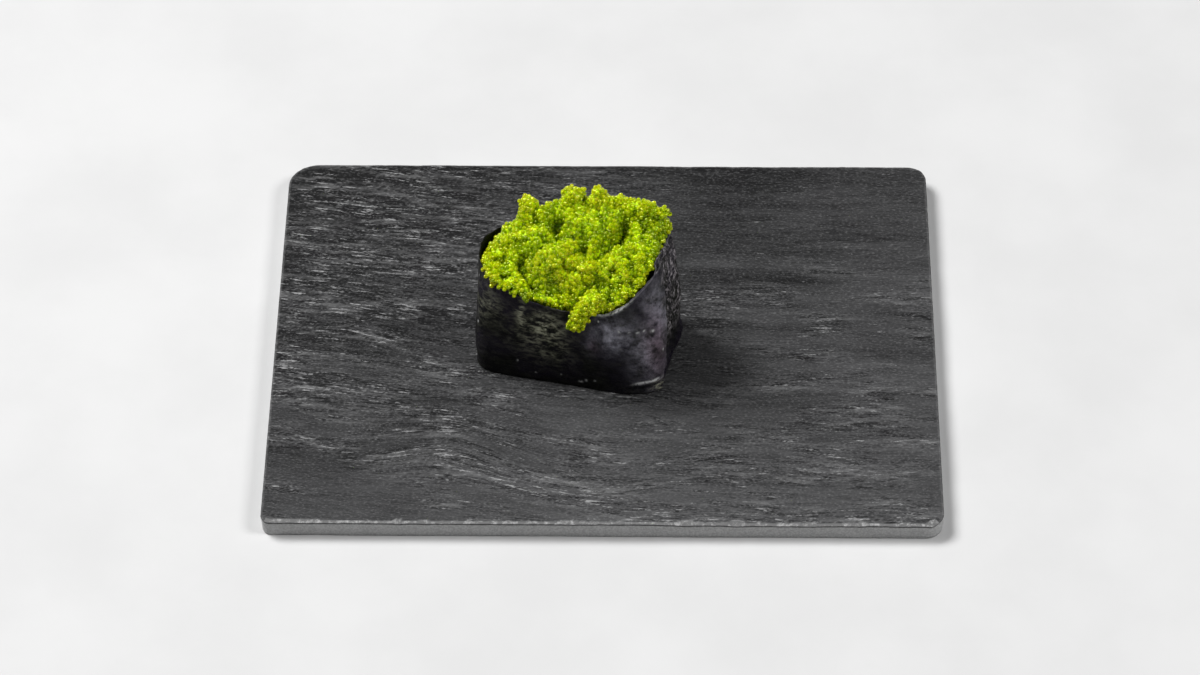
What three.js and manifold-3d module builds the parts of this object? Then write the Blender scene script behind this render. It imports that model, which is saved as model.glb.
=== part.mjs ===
// A seaweed-wrapped roll heaped with green flying-fish roe, on a small slate board.
// Lengths are in millimetres and angles in degrees. X runs along the board's long side, Y away from
// the diner and Z up. The origin is the middle of the board's underside.
import * as THREE from 'three';
import { mergeVertices } from 'three/addons/utils/BufferGeometryUtils.js';
import Module from 'manifold-3d';

// Board
const BOARD_WIDTH = 160;
const BOARD_DEPTH = 120;
const BOARD_THICKNESS = 5;
const CORNER_RADIUS = { backLeft: 7.5, backRight: 4.5, frontLeft: 2.2, frontRight: 4 };
const BEVEL_HEIGHT = 0.7;
const BEVEL_LEAST = 0.35;
const BEVEL_MOST = 1.3;
const UNDERSIDE_INSET = 0.5;
const EDGE_WAVE = 0.35;
const EDGE_WAVE_LENGTH = 9;
const CLEFT_DEPTH = 0.4;
const CLEFT_LENGTH = 11;
const CLEFT_SPACING = 7;
const FLAT_PATCH = { x: 30, y: 22 };
const EDGE_LINES = [0, 1.1, 2.6, 4.6, 7.6];
const GRID_STEP = 7;

// Roll: its own frame has x along its length and y across it, turned on the board
const ROLL_X = -5.6;
const ROLL_Y = -1.4;
const ROLL_TURN = -12;
const REST_GAP = 0.3;
const FOOT = {
  left: 23.7,
  right: 23.1,
  halfWidth: 14.8,
  squareness: { frontLeft: 8, frontRight: 4.6, backLeft: 5, backRight: 5 },
};
const RIM = {
  left: 23,
  right: 21.6,
  halfWidth: 14,
  squareness: { frontLeft: 2.6, frontRight: 2.8, backLeft: 2, backRight: 3.2 },
};
const RIM_SHIFT = -1.6;
const RIM_SKEW = 0.14;
const WALL_BULGE = 0.35;
const LEAN_POWER = 2.2;
const CREASE = 0.3;
const RIM_THICKNESS = 0.7;
const OVERLAP_STEP = 0.55;
const OVERLAP_ANGLE = 3;
const WELL_FLOOR = 19;
const WELL_ROUNDING = 0.6;
const WALL_COLUMNS = 92;
const WALL_LEVELS = [0, 0.03, 0.2, 0.42, 0.65, 0.86, 1];
const FOOT_INSET = 0.7;

// Height of the seaweed's rim over the board, by direction from the roll's middle
const RIM_HEIGHTS = [
  { angle: 0, height: 35 },
  { angle: 70, height: 34.5 },
  { angle: 150, height: 27 },
  { angle: 186, height: 28.4 },
  { angle: 270, height: 24.1 },
  { angle: 305, height: 24.4 },
  { angle: 354, height: 35 },
];

// Roe: the heap is a lattice of eggs, in rings around a middle line
const EGG_RINGS = 14;
const SPINE_EGGS = 15;
const EGG_RISE = 0.34;
const EGG_VALLEY = 0.2;
const EGG_JITTER = 0.2;
const MOST_SHARE = 0.985;
const CLUMP_ROUGHNESS = 1.1;
const HEAP = { height: 30.8, riseAlong: 0.145, riseAcross: 0.36, dome: 4.5 };
const SHOULDER_SHARPNESS = 5;
const LUMP_SHARPNESS = 12;
const ROE_GAP = 0.3;
const CUT_ALLOWANCE = 0.12;

// Lumps and dents of the heap in the roll's frame: place, radius and height, negative for a dent
const LUMPS = [
  { x: 0.5, y: 9.6, radius: 5, height: 1.9 },
  { x: 9.5, y: 9.6, radius: 5, height: 1.9 },
  { x: 16.6, y: 6.6, radius: 4.2, height: 1.6 },
  { x: -14.7, y: 7.8, radius: 3.1, height: 4.4 },
  { x: -8.4, y: 7, radius: 2.9, height: 3.2 },
  { x: -4, y: 9.6, radius: 2.8, height: 4.4 },
  { x: 2.3, y: 10.2, radius: 2.4, height: 3.6 },
  { x: 7.8, y: 9.4, radius: 3, height: 2.4 },
  { x: 13.7, y: 8.8, radius: 2.9, height: 2.8 },
  { x: 17.9, y: 7.6, radius: 2.7, height: 4 },
  { x: -18.4, y: 4.6, radius: 2.6, height: 1.6 },
  { x: -18.4, y: -0.4, radius: 3.2, height: 1.7 },
  { x: -19.9, y: -7.6, radius: 2.8, height: 1.4 },
  { x: -5.4, y: -6, radius: 4.4, height: 3.4 },
  { x: 3, y: -6.4, radius: 3, height: 1.8 },
  { x: -2.6, y: 3.6, radius: 2.8, height: 1.6 },
  { x: 7.4, y: 3.9, radius: 2.6, height: 1.6 },
  { x: 14, y: -3.6, radius: 4, height: 2.4 },
  { x: 17.5, y: 2, radius: 3, height: 1.4 },
  { x: -12.5, y: -10.3, radius: 2.6, height: 1 },
  { x: -1.2, y: -11, radius: 2.8, height: 1.1 },
  { x: 10, y: -8.6, radius: 3, height: 1 },
  { x: -1, y: 6.5, radius: 2.6, height: -1.2 },
  { x: 9.2, y: -6.9, radius: 1.3, height: -1.4 },
  { x: 16.1, y: 4.6, radius: 1.4, height: -1.5 },
];

// Crevices between the lumps: depth, and places along each in the roll's frame
const CREVICE_HALF_WIDTH = 1.3;
const CREVICES = [
  { depth: 4, path: [[-6.5, 3.6], [-6.1, 0.8], [-7.3, -1.6], [-9.7, -2.8], [-13.1, -3.2]] },
  { depth: 4.6, path: [[-13.1, -3.2], [-13.4, -5], [-11.7, -7.1], [-10, -9]] },
  { depth: 3.8, path: [[10, 4.7], [9.5, 2.4], [6.4, -1], [4.2, -4]] },
  { depth: 3, path: [[1.2, -1.4], [1.9, -3.6], [1.5, -5.1]] },
  { depth: 4.2, path: [[6.2, -8.7], [4.4, -9.4], [3.8, -11]] },
  { depth: 2.6, path: [[-8.7, -10.5], [-6.4, -9.9], [-2.7, -10.2]] },
  { depth: 3, path: [[-17.6, -2.6], [-18.7, -4.3]] },
  { depth: 2, path: [[8.4, -9.8], [11.1, -9.3]] },
];

// Mounds of a few eggs all over the heap, with narrow dips between them
const MOUND_RISE = 1.7;
const MOUND_SPACING = 1.7;
const MOUND_STEEPNESS = 0.2;

// Where roe swells over the rim, or sits back from it: direction, how far past the inner wall, and
// half the width of the swell
const ROE_INSET = 0.5;
const SWELLS = [
  { angle: 215, reach: 1.9, width: 34 },
  { angle: 18, reach: 1.9, width: 20 },
  { angle: 312, reach: 1.5, width: 24 },
  { angle: 100, reach: 1.1, width: 34 },
  { angle: 176, reach: -1.6, width: 24 },
];
const SETBACK_DROP = 1.2;

// Clumps of eggs that stand out of the heap, by place in the roll's frame and radius: the knobs
// along its back, then the tongue that hangs over the front rim
const CLUMPS = [
  { x: -14.5, y: 8, z: 35.3, radius: 2.5 },
  { x: -4.2, y: 9.6, z: 38.9, radius: 2.8 },
  { x: 2.1, y: 10, z: 41, radius: 1.5 },
  { x: 13.7, y: 8.6, z: 39.9, radius: 2.2 },
  { x: 17.9, y: 7.8, z: 40.4, radius: 2 },
  { x: 6, y: -12.2, z: 27.4, radius: 2.9 },
  { x: 4.2, y: -14, z: 26.2, radius: 2.7 },
  { x: 2.8, y: -15.2, z: 24.1, radius: 2.5 },
  { x: 2.1, y: -15.6, z: 22.3, radius: 2.1 },
];

const FULL_TURN = Math.PI * 2;
const { degToRad: radians, euclideanModulo, lerp, clamp, smoothstep } = THREE.MathUtils;

const wasm = await Module();
wasm.setup();

// Random numbers from a seed, each from 0 to 1
function seeded(seed) {
  let state = seed;
  return () => {
    state = (state + 0x6d2b79f5) | 0;
    let mixed = Math.imul(state ^ (state >>> 15), 1 | state);
    mixed = (mixed + Math.imul(mixed ^ (mixed >>> 7), 61 | mixed)) ^ mixed;
    return ((mixed ^ (mixed >>> 14)) >>> 0) / 4294967296;
  };
}

// Smooth noise in two directions, from -1 to 1, made of a few tilted waves
function waves(seed, count) {
  const random = seeded(seed);
  const parts = Array.from({ length: count }, () => ({
    alongX: 0.5 + random(),
    alongY: (random() - 0.5) * 2,
    phase: random() * FULL_TURN,
  }));
  return (x, y) => {
    const heights = parts.map((p, i) => Math.sin(p.alongX * x + p.alongY * y * (1 + i * 0.4) + p.phase));
    return heights.reduce((sum, h) => sum + h, 0) / count;
  };
}

function meshGeometry(points, faces) {
  return new THREE.BufferGeometry().setFromPoints(points).setIndex(faces);
}

// Joins points by their places alone
function bareGeometry(geometry) {
  geometry.deleteAttribute('normal');
  geometry.deleteAttribute('uv');
  return mergeVertices(geometry, 1e-4);
}

function solidOf(geometry) {
  const merged = bareGeometry(geometry.clone());
  return new wasm.Manifold(new wasm.Mesh({
    numProp: 3,
    vertProperties: new Float32Array(merged.attributes.position.array),
    triVerts: new Uint32Array(merged.index.array),
  }));
}

function geometryOf(solid) {
  const mesh = solid.getMesh();
  return new THREE.BufferGeometry()
    .setAttribute('position', new THREE.BufferAttribute(new Float32Array(mesh.vertProperties), 3))
    .setIndex(new THREE.BufferAttribute(new Uint32Array(mesh.triVerts), 1));
}

// Hangs rings of points below an outline of the mesh so far, and closes the last on a middle point
function closeBelow(points, faces, outline, rings, middle) {
  let above = outline;
  rings.forEach((ring) => {
    const below = ring.map((p) => points.push(p) - 1);
    below.forEach((p, i) => {
      const next = (i + 1) % below.length;
      faces.push(p, below[next], above[next], p, above[next], above[i]);
    });
    above = below;
  });
  const centre = points.push(middle) - 1;
  above.forEach((p, i) => faces.push(centre, above[(i + 1) % above.length], p));
}

// Grid lines from one edge of the board to the other, closer together near the edges
function gridLines(length) {
  const inner = EDGE_LINES.at(-1);
  const span = length - 2 * inner;
  const cells = Math.round(span / GRID_STEP);
  const middle = Array.from({ length: cells - 1 }, (_, i) => inner + (span * (i + 1)) / cells);
  const far = EDGE_LINES.map((d) => length - d).reverse();
  return [...EDGE_LINES, ...middle, ...far].map((d) => d - length / 2);
}

// Moves a point of the board's rectangle into its rounded outline
function roundCorner(x, y) {
  const radius = CORNER_RADIUS[(y < 0 ? 'front' : 'back') + (x < 0 ? 'Left' : 'Right')];
  const start = new THREE.Vector2(BOARD_WIDTH / 2 - radius, BOARD_DEPTH / 2 - radius);
  const past = new THREE.Vector2(Math.abs(x), Math.abs(y)).sub(start);
  if (past.x <= 0 || past.y <= 0) return new THREE.Vector2(x, y);
  start.add(past.setLength(Math.max(past.x, past.y)));
  return new THREE.Vector2(Math.sign(x) * start.x, Math.sign(y) * start.y);
}

// The board's top as it split along the stone's layers, flat under the roll
function boardTop(xs, ys) {
  const relief = waves(11, 7);
  const points = ys.flatMap((y) => xs.map((x) => {
    const p = roundCorner(x, y);
    const depth = CLEFT_DEPTH * (0.5 + 0.5 * relief(p.x / CLEFT_LENGTH, p.y / CLEFT_SPACING));
    const flat = Math.exp(-(((p.x - ROLL_X) / FLAT_PATCH.x) ** 4) - ((p.y - ROLL_Y) / FLAT_PATCH.y) ** 4);
    return new THREE.Vector3(p.x, p.y, BOARD_THICKNESS - depth * (1 - flat));
  }));
  const faces = [];
  for (let j = 0; j < ys.length - 1; j += 1) {
    for (let i = 0; i < xs.length - 1; i += 1) {
      const a = j * xs.length + i;
      const b = a + 1;
      const c = b + xs.length;
      const d = a + xs.length;
      if ((i + j) % 2) faces.push(a, b, c, a, c, d);
      else faces.push(a, b, d, b, c, d);
    }
  }
  return { points, faces };
}

// Points round the edge of a grid, counter-clockwise from its front left corner
function gridEdge(columns, rows) {
  const at = (i, j) => j * columns + i;
  const along = Array.from({ length: columns - 1 }, (_, i) => i);
  const across = Array.from({ length: rows - 1 }, (_, j) => j);
  return [
    ...along.map((i) => at(i, 0)),
    ...across.map((j) => at(columns - 1, j)),
    ...along.map((i) => at(columns - 1 - i, rows - 1)),
    ...across.map((j) => at(0, rows - 1 - j)),
  ];
}

// Slate: a cleft top, chipped upper edges, sawn sides and a flat underside
function boardGeometry() {
  const xs = gridLines(BOARD_WIDTH);
  const ys = gridLines(BOARD_DEPTH);
  const { points, faces } = boardTop(xs, ys);
  const edge = gridEdge(xs.length, ys.length);
  const chips = seeded(23);
  const wave = waves(31, 3);
  const moved = (p, inset, z) => new THREE.Vector3(
    p.x * (1 - (2 * inset) / BOARD_WIDTH), p.y * (1 - (2 * inset) / BOARD_DEPTH), z);
  const underBevel = (p) => {
    const inset = EDGE_WAVE * (0.5 + 0.5 * wave(p.x / EDGE_WAVE_LENGTH, p.y / EDGE_WAVE_LENGTH));
    return moved(p, inset, BOARD_THICKNESS - BEVEL_HEIGHT * (0.6 + 0.8 * chips()));
  };
  const outline = edge.map((index) => points[index].clone());
  const rings = [outline.map(underBevel), outline.map((p) => moved(p, UNDERSIDE_INSET, 0))];
  edge.forEach((index) => {
    const bevel = BEVEL_LEAST + (BEVEL_MOST - BEVEL_LEAST) * chips() ** 3;
    points[index].copy(moved(points[index], bevel, points[index].z));
  });
  closeBelow(points, faces, edge, rings, new THREE.Vector3(0, 0, 0));
  return meshGeometry(points, faces);
}

// Distance from the middle to a rounded oval, in one direction
function ovalReach(oval, angle) {
  const c = Math.cos(angle);
  const s = Math.sin(angle);
  const power = oval.squareness[(s < 0 ? 'front' : 'back') + (c < 0 ? 'Left' : 'Right')];
  const along = Math.abs(c / (c < 0 ? oval.left : oval.right)) ** power;
  const across = Math.abs(s / oval.halfWidth) ** power;
  return (along + across) ** (-1 / power);
}

// A point at a distance from the roll's middle line, moved as the rim is where lean is 1
function placed(angle, reach, lean, height) {
  const y = reach * Math.sin(angle);
  const skew = RIM_SKEW * Math.max(0, Math.cos(angle)) * Math.max(0, y);
  return new THREE.Vector3(reach * Math.cos(angle) + lean * (RIM_SHIFT + skew), y, height);
}

// Rim height over the board in one direction, eased between the named heights
function rimHeight(angle) {
  const turned = euclideanModulo(THREE.MathUtils.radToDeg(angle), 360);
  const after = RIM_HEIGHTS.findIndex((r) => r.angle > turned);
  const high = after < 0 ? { angle: 360, height: RIM_HEIGHTS[0].height } : RIM_HEIGHTS[after];
  const low = after < 0 ? RIM_HEIGHTS.at(-1) : RIM_HEIGHTS[after - 1];
  const share = smoothstep(turned, low.angle, high.angle);
  return lerp(low.height, high.height, share);
}

const wrinkle = waves(47, 5);

// Outer face of the wrapped sheet: share is 0 at the board and 1 at the rim
function wallPoint(angle, share) {
  const height = rimHeight(angle) * share;
  const lean = share ** LEAN_POWER;
  const plain = lerp(ovalReach(FOOT, angle), ovalReach(RIM, angle), lean);
  const bulge = WALL_BULGE * Math.sin(Math.PI * share);
  const wound = euclideanModulo(angle - radians(OVERLAP_ANGLE), FULL_TURN) / FULL_TURN;
  const crease = CREASE * wrinkle(angle * 5, height / 5) * Math.sin(Math.PI * Math.min(1, share + 0.1));
  const inset = share === 0 ? FOOT_INSET : 0;
  return placed(angle, plain + bulge + OVERLAP_STEP * wound ** 3 + crease - inset, lean, height);
}

// Inner face of the rim, which the roe fills: share is 0 at the well's floor and 1 at the rim
function wellPoint(angle, share, inset = 0) {
  const reach = ovalReach(RIM, angle) - RIM_THICKNESS - inset;
  return placed(angle, reach, 1, lerp(WELL_FLOOR, rimHeight(angle), share));
}

// Directions of the wall's columns, with a close pair where the sheet's end overlaps
function wallAngles() {
  const start = radians(OVERLAP_ANGLE);
  const step = FULL_TURN / WALL_COLUMNS;
  const even = Array.from({ length: WALL_COLUMNS }, (_, i) => start + step * (i + 0.02));
  return [...even, start + FULL_TURN * 0.9995];
}

// Seaweed sheet wrapped round the roll, solid below the well that holds the roe, and larger all
// round by grow
function rollGeometry(grow = 0) {
  const angles = wallAngles();
  const lift = new THREE.Vector3(0, 0, grow);
  const outer = WALL_LEVELS.map((share) => angles.map((a) => {
    const out = new THREE.Vector3(Math.cos(a), Math.sin(a), share).multiplyScalar(grow);
    return wallPoint(a, share).add(out);
  }));
  const well = [
    angles.map((a) => wellPoint(a, 0, grow + WELL_ROUNDING).add(lift)),
    angles.map((a) => wellPoint(a, 0.4, grow)),
    angles.map((a) => wellPoint(a, 1, grow).add(lift)),
  ];
  const points = [...well[0], new THREE.Vector3(RIM_SHIFT, 0, WELL_FLOOR + grow)];
  const floor = angles.map((_, i) => i);
  const faces = floor.flatMap((i) => [i, (i + 1) % floor.length, floor.length]);
  const foot = new THREE.Vector3(0, 0, 0);
  closeBelow(points, faces, floor, [...well.slice(1), ...outer.reverse()], foot);
  return meshGeometry(points, faces);
}

// Egg places, each with six neighbours, as column q and row r with their ring round a middle line
function eggLattice() {
  const eggs = [];
  const index = new Map();
  for (let r = -EGG_RINGS; r <= EGG_RINGS; r += 1) {
    const from = Math.max(-EGG_RINGS, -EGG_RINGS - r);
    const to = Math.min(EGG_RINGS, EGG_RINGS - r) + SPINE_EGGS;
    for (let q = from; q <= to; q += 1) {
      let ring = Infinity;
      for (let m = 0; m <= SPINE_EGGS; m += 1) {
        ring = Math.min(ring, Math.max(Math.abs(q - m), Math.abs(r), Math.abs(q - m + r)));
      }
      index.set(`${q},${r}`, eggs.length);
      eggs.push({ q, r, ring });
    }
  }
  return { eggs, find: (q, r) => index.get(`${q},${r}`) };
}

// Distance from the middle to the lattice's outline, a bar with round ends
function barReach(angle, halfSpine, radius) {
  const c = Math.abs(Math.cos(angle));
  const s = Math.abs(Math.sin(angle));
  if (s * halfSpine >= radius * c) return radius / s;
  return halfSpine * c + Math.sqrt(radius ** 2 - (halfSpine * s) ** 2);
}

function lumpHeight(x, y) {
  return LUMPS.reduce((sum, lump) => {
    const away = Math.hypot(x - lump.x, y - lump.y) / lump.radius;
    return sum + lump.height * Math.exp(-(away ** 3));
  }, 0);
}

function creviceDepth(x, y) {
  const place = new THREE.Vector3(x, y, 0);
  const nearest = new THREE.Vector3();
  const gapTo = (from, to) => new THREE.Line3(new THREE.Vector3(...from, 0), new THREE.Vector3(...to, 0))
    .closestPointToPoint(place, true, nearest).distanceTo(place);
  return CREVICES.reduce((deepest, { depth, path }) => {
    const gap = Math.min(...path.slice(1).map((to, i) => gapTo(path[i], to)));
    return Math.max(deepest, depth * Math.exp(-((gap / CREVICE_HALF_WIDTH) ** 2)));
  }, 0);
}

const mounds = waves(61, 4);

function moundHeight(x, y) {
  const away = Math.abs(mounds(x / MOUND_SPACING, y / MOUND_SPACING)) / MOUND_STEEPNESS;
  return MOUND_RISE * (0.4 - Math.exp(-away));
}

function reliefHeight(x, y) {
  return lumpHeight(x, y) + moundHeight(x, y) - creviceDepth(x, y);
}

function swell(angle) {
  const turned = THREE.MathUtils.radToDeg(angle);
  return SWELLS.reduce((sum, s) => {
    const away = euclideanModulo(turned - s.angle + 180, 360) - 180;
    return sum + s.reach * Math.exp(-((away / s.width) ** 2));
  }, -ROE_INSET);
}

// Height of the heap's edge, a little over the rim, or below it where the roe sits back from it
function roeEdge(angle) {
  const back = Math.min(0, swell(angle) + ROE_INSET);
  return rimHeight(angle) + ROE_GAP + 2 * CUT_ALLOWANCE + SETBACK_DROP * back;
}

// Direction of an egg from the heap's middle, and its share of the way to the heap's edge
function heapPlace(egg, random) {
  const half = SPINE_EGGS / 2;
  const plain = new THREE.Vector2(egg.q + egg.r / 2 - half, (egg.r * Math.sqrt(3)) / 2);
  const spine = new THREE.Vector2(clamp(plain.x, -half, half), 0);
  const out = plain.clone().sub(spine);
  if (egg.ring) out.setLength(egg.ring);
  const place = spine.add(out);
  const ring = egg.ring / EGG_RINGS;
  const jitter = new THREE.Vector2(random() - 0.5, random() - 0.5).multiplyScalar(2 * EGG_JITTER);
  if (ring < 1) place.add(jitter);
  const angle = Math.atan2(place.y, place.x);
  const share = place.length() / barReach(angle, half, EGG_RINGS);
  return { angle, share: ring < 1 ? Math.min(MOST_SHARE, share) : 1, ring };
}

// Where an egg of the lattice lies on the smooth heap
function heapPoint({ angle, share, ring }) {
  const reach = share * (ovalReach(RIM, angle) - RIM_THICKNESS) + swell(angle) * ring ** 4;
  const point = placed(angle, reach, 1, 0);
  const surface = HEAP.height + HEAP.riseAlong * point.x + HEAP.riseAcross * point.y
    + HEAP.dome * (1 - share ** 2);
  const relief = reliefHeight(point.x, point.y) * (1 - ring ** LUMP_SHARPNESS);
  point.z = lerp(surface, roeEdge(angle), ring ** SHOULDER_SHARPNESS) + relief;
  return point;
}

// Triangles between neighbouring eggs of the lattice
function latticeTriangles(eggs, find) {
  return eggs.flatMap(({ q, r }, i) => {
    const right = find(q + 1, r);
    const upper = find(q, r + 1);
    const lower = find(q + 1, r - 1);
    const known = [[i, right, upper], [i, lower, right]];
    return known.filter((t) => !t.includes(undefined));
  });
}

// Raises each egg inside the outline and sinks a valley point in each triangle between three eggs
function eggBumps(points, triangles, ringOf, random) {
  const smooth = meshGeometry(points, triangles.flat());
  smooth.computeVertexNormals();
  const { normal: outward } = smooth.attributes;
  const normals = points.map((_, i) => new THREE.Vector3().fromBufferAttribute(outward, i));
  const valleys = triangles.map((t) => {
    const centre = new THREE.Vector3();
    const normal = new THREE.Vector3();
    t.forEach((i) => {
      centre.add(points[i]);
      normal.add(normals[i]);
    });
    return centre.divideScalar(3).addScaledVector(normal.normalize(), -EGG_VALLEY);
  });
  points.forEach((p, i) => {
    const rise = EGG_RISE * (0.8 + 0.4 * random());
    if (ringOf(i) < EGG_RINGS) p.addScaledVector(normals[i], rise);
  });
  const first = points.push(...valleys) - valleys.length;
  return triangles.flatMap(([a, b, c], t) => [a, b, first + t, b, c, first + t, c, a, first + t]);
}

// Flying-fish roe heaped in the well: one bump an egg, over an underside that fits the well
function heapGeometry() {
  const random = seeded(5);
  const { eggs, find } = eggLattice();
  const places = eggs.map((egg) => heapPlace(egg, random));
  const points = places.map(heapPoint);
  const faces = eggBumps(points, latticeTriangles(eggs, find), (i) => eggs[i].ring, random);
  const outline = [...eggs.keys()].filter((i) => eggs[i].ring === EGG_RINGS);
  outline.sort((a, b) => places[a].angle - places[b].angle);
  const angles = outline.map((i) => places[i].angle);
  const clear = ROE_GAP + CUT_ALLOWANCE;
  const lift = new THREE.Vector3(0, 0, clear);
  const under = [
    angles.map((a) => wellPoint(a, 1, Math.max(clear, -swell(a))).setZ(roeEdge(a) - CUT_ALLOWANCE)),
    angles.map((a) => wellPoint(a, 0.4, clear)),
    angles.map((a) => wellPoint(a, 0, clear + 2 * WELL_ROUNDING).add(lift)),
  ];
  closeBelow(points, faces, outline, under, new THREE.Vector3(RIM_SHIFT, 0, WELL_FLOOR + clear));
  return meshGeometry(points, faces);
}

// A clump of eggs: a ball whose points stand out or in by up to half an egg
function clump({ x, y, z, radius }, random) {
  const ball = bareGeometry(new THREE.IcosahedronGeometry(radius, 2));
  const position = ball.attributes.position;
  const point = new THREE.Vector3();
  for (let i = 0; i < position.count; i += 1) {
    const rough = 1 + ((random() - 0.5) * CLUMP_ROUGHNESS) / radius;
    point.fromBufferAttribute(position, i).multiplyScalar(rough);
    position.setXYZ(i, point.x + x, point.y + y, point.z + z);
  }
  return ball;
}

// The heap with its knobs and tongue, clear of the sheet all round
function roeGeometry() {
  const random = seeded(9);
  const clumps = wasm.Manifold.union(CLUMPS.map((ball) => solidOf(clump(ball, random))));
  const heap = solidOf(heapGeometry()).add(clumps);
  const cleared = heap.subtract(solidOf(rollGeometry(ROE_GAP)));
  const largest = cleared.decompose().sort((a, b) => b.volume() - a.volume())[0];
  return geometryOf(largest);
}

function finish(name, geometry, colour, roughness) {
  geometry.computeVertexNormals();
  const material = new THREE.MeshStandardMaterial({ color: colour, roughness, metalness: 0 });
  const mesh = new THREE.Mesh(geometry, material);
  mesh.name = name;
  return mesh;
}

const plate = new THREE.Group();
plate.add(finish('slate_board', boardGeometry(), 0x4a4b4d, 0.75));

const roll = new THREE.Group();
roll.position.set(ROLL_X, ROLL_Y, BOARD_THICKNESS + REST_GAP);
roll.rotation.z = radians(ROLL_TURN);
roll.add(finish('seaweed_roll', rollGeometry(), 0x15161a, 0.45));
roll.add(finish('roe_heap', roeGeometry(), 0x9ab80a, 0.25));
plate.add(roll);

export default plate;
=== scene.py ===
# Looks of a seaweed-wrapped roll of green flying-fish roe on its slate board.
# Lengths are in millimetres in the board's frame, and become metres when a mesh is made. The roll has
# its own frame, turned on the board, with x along its length. Angles are in degrees.
import itertools
import math

import bpy
import numpy as np
from mathutils import Matrix, Vector
from mathutils.kdtree import KDTree


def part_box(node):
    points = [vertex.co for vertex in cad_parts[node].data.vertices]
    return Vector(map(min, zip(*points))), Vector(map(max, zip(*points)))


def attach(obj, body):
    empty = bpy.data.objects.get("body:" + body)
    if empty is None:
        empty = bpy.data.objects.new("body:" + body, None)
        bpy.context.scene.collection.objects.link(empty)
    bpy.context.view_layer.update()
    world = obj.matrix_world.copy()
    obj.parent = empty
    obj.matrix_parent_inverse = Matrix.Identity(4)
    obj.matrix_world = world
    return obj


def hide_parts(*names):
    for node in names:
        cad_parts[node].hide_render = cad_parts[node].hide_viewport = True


MM = 0.001

# Random forms of meshes: height, length of a bump along x and along y, seed, layers, and each finer
# layer's share of the one before. Layers are turned and shifted, but those of grain are only shifted.
NOISE_SIZE = 64
LAYER_TURN = 0.6
LAYER_SHIFT = (7.3, 3.1)
GRAIN_SHIFT = (5.7, 5.7)
FORMS = {
    "wobble": (1.6, 32, 20, 41, 2, 0.5),
    "scuffs": (1.1, 13, 4, 71, 3, 0.5),
    "broad_tone": (0.35, 34, 10, 77, 3, 0.5),
    "edge_chips": (1, 3.2, 1, 19, 4, 0.65),
    "broken_edge": (0.12, 0.8, 0.8, 29, 2, 0.5),
    "side_wave": (0.1, 14, 14, 33, 3, 0.5),
    "saw_marks": (0.04, 2, 0.5, 57, 2, 0.5),
    "swell": (0.28, 7, 9, 61, 3, 0.5),
    "folds": (1, 3.4, 6, 73, 3, 0.5),
    "puckers": (0.11, 1.1, 1.3, 79, 3, 0.5),
    "crinkle": (1, 2.2, 3, 91, 3, 0.6),
    "rim_rags": (0.22, 1 / 12, 1, 97, 4, 0.6),
    "lap_rags": (2.2, 1 / 14, 1, 103, 4, 0.6),
    "lap_rim": (0.3, 1 / 10, 1, 107, 3, 0.5),
    "warmth": (0.8, 6.5, 6.5, 149, 3, 0.5),
    "shelves": (1, 30, 6.5, 52, 5, 0.55),
    "flakes": (1, 9, 1.9, 67, 3, 0.6),
    "threads": (0.05, 5, 0.9, 83, 2, 0.5),
    "tone_bands": (0.2, 40, 2.6, 89, 2, 0.5),
}
GRAIN_FORMS = ("shelves", "flakes", "threads", "tone_bands")

# Noises of materials: bumps a millimetre, detail, roughness and distortion
NOISES = {
    "dull": (0.55, 4, 0.6),
    "grain": (2.4, 5, 0.6),
    "granules": (2.5, 3, 0.6),
    "dashes": (1.6, 5, 0.64),
    "chips": (0.7, 5, 0.7),
    "specks": (2.2, 3, 0.6),
    "stone_relief": (3, 3, 0.55),
    "tint": (0.085, 3, 0.55),
    "strands": (0.85, 6, 0.74, 0.4),
    "cloud": (0.45, 6, 0.72),
    "crinkle_highlights": (0.85, 7, 0.8),
    "glints": (1.5, 2, 0.55),
    "blotches": (0.5, 4, 0.55),
    "strand_relief": (1.2, 6, 0.7),
    "sheet_relief": (1.3, 5, 0.6),
    "core_tone": (0.35, 4, 0.55),
    "core_relief": (2.5, 2, 0.55),
    "mottle": (0.02, 5, 0.55),
}

# The range that is used of each value, and the range that it becomes where that isn't 0 to 1
RANGES = {
    "dull": (0.4, 0.56, -0.34, 0.06),
    "grain": (0.32, 0.68, -0.4, 0.4),
    "granules": (0.3, 0.7, -0.3, 0.3),
    "dashes": (0.61, 0.84, 0, 1.2),
    "granules_in_dashes": (0.35, 0.65, -0.5, 0.1),
    "scuffs_on_grain": (0, 0.6, 0.35, 1),
    "scuffs_on_granules": (0, 0.5, 0.45, 1),
    "chips": (0.46, 0.7),
    "specks": (0.35, 0.65),
    "tint": (0.42, 0.6),
    "strands": (0.43, 0.64),
    "cloud": (0.26, 0.74),
    "crinkle_highlights": (0.47, 0.68),
    "glints": (0.32, 0.5),
    "blotches": (0.3, 0.7, 0.4, 0.58),
    "core_tone": (0.35, 0.65),
    "mottle": (0.3, 0.7),
}

# Camera, which looks down by its pitch
CAMERA_PLACE = (12.2, -738.2, 783.0)
CAMERA_YAW = -1.04
CAMERA_PITCH = 46.5
CAMERA_ROLL = -0.46
CAMERA_LENS = 132.6
SENSOR_WIDTH = 36

# Light: softboxes by place, size and power, all aimed at the roll
SOFTBOXES = {
    "left_softbox": ((-780, -260, 980), 420, 1.2),
    "right_softbox": ((820, -220, 960), 420, 8.6),
    "top_softbox": ((-1000, 480, 1560), 800, 46.5),
}
AIM = (0, 0, 20)
AMBIENT = 0.05
FLOOR_SIZE = 3000
FLOOR_DARK = (0.55, 0.55, 0.55)
FLOOR_LIGHT = (0.59, 0.59, 0.59)
FLOOR_SHADER = {"Roughness": 0.7}

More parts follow.
